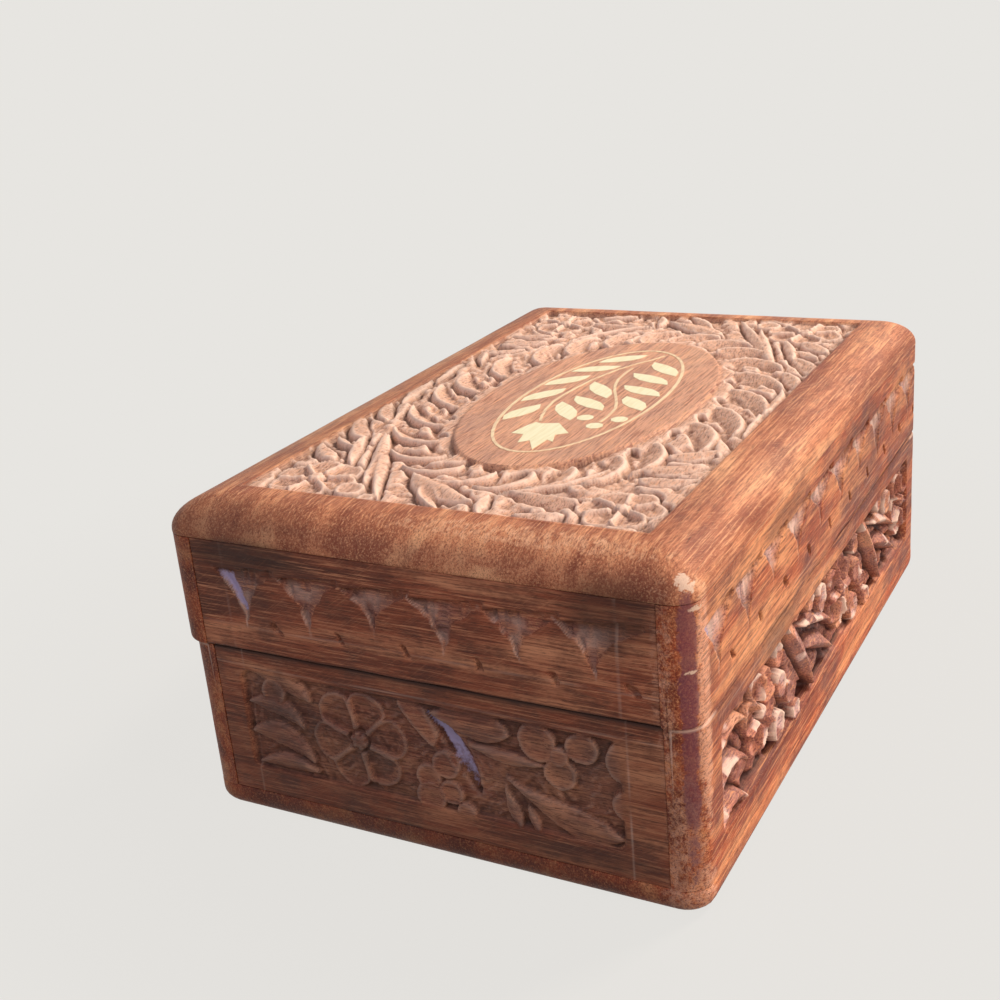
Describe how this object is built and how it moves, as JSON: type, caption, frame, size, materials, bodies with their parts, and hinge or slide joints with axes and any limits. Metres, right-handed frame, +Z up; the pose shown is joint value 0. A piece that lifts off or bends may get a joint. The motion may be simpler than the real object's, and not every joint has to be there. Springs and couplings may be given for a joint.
{
  "type": "carved wooden jewelry box",
  "caption": "Low rectangular hardwood keepsake box with a hinged lid, relief-carved leaves and flowers on top and sides, and a small metal floral inlay in an oval on the lid.",
  "frame": {"origin": "middle of the flat underside of the bottom board", "axes": "+X along the long side, to the right seen from the front; +Y to the back, where the hinges are; +Z up"},
  "size_m": [0.15, 0.1016, 0.0635],
  "materials": {
    "top_wood": "waxed hardwood, sanded, worn pale on the carved crests",
    "side_wood": "waxed hardwood with dark residue in the carving",
    "end_wood": "waxed hardwood with dark residue in the carving",
    "inlay_metal": "pale brass sheet and wire, sanded flush with the wood",
    "hinge_brass": "pressed brass, slightly tarnished",
    "lining_velvet": "short-pile velvet glued on thin card"
  },
  "bodies": {
    "base": {"base_back_wall": "side_wood", "base_front_wall": "side_wood", "base_left_wall": "end_wood", "base_lining": "lining_velvet", "base_right_wall": "end_wood", "bottom_board": "side_wood", "left_hinge_base_leaf": "hinge_brass", "left_hinge_base_screw_1": "hinge_brass", "left_hinge_base_screw_2": "hinge_brass", "left_hinge_pin": "hinge_brass", "right_hinge_base_leaf": "hinge_brass", "right_hinge_base_screw_1": "hinge_brass", "right_hinge_base_screw_2": "hinge_brass", "right_hinge_pin": "hinge_brass"},
    "lid": {"inlay_bud_1": "inlay_metal", "inlay_bud_2": "inlay_metal", "inlay_bud_3": "inlay_metal", "inlay_flower": "inlay_metal", "inlay_leaf_1": "inlay_metal", "inlay_leaf_10": "inlay_metal", "inlay_leaf_11": "inlay_metal", "inlay_leaf_12": "inlay_metal", "inlay_leaf_2": "inlay_metal", "inlay_leaf_3": "inlay_metal", "inlay_leaf_4": "inlay_metal", "inlay_leaf_5": "inlay_metal", "inlay_leaf_6": "inlay_metal", "inlay_leaf_7": "inlay_metal", "inlay_leaf_8": "inlay_metal", "inlay_leaf_9": "inlay_metal", "inlay_ring": "inlay_metal", "inlay_stem_1": "inlay_metal", "inlay_stem_2": "inlay_metal", "left_hinge_lid_leaf": "hinge_brass", "left_hinge_lid_screw_1": "hinge_brass", "left_hinge_lid_screw_2": "hinge_brass", "lid_back_wall": "side_wood", "lid_front_wall": "side_wood", "lid_left_wall": "end_wood", "lid_lining": "lining_velvet", "lid_right_wall": "end_wood", "lid_top_board": "top_wood", "right_hinge_lid_leaf": "hinge_brass", "right_hinge_lid_screw_1": "hinge_brass", "right_hinge_lid_screw_2": "hinge_brass"}
  },
  "joints": [
    {"name": "lid_hinge", "type": "hinge", "parent": "base", "child": "lid", "pos_m": [0, 0.0492, 0.0355], "axis": [-1, 0, 0], "range_deg": [0, 98]}
  ]
}
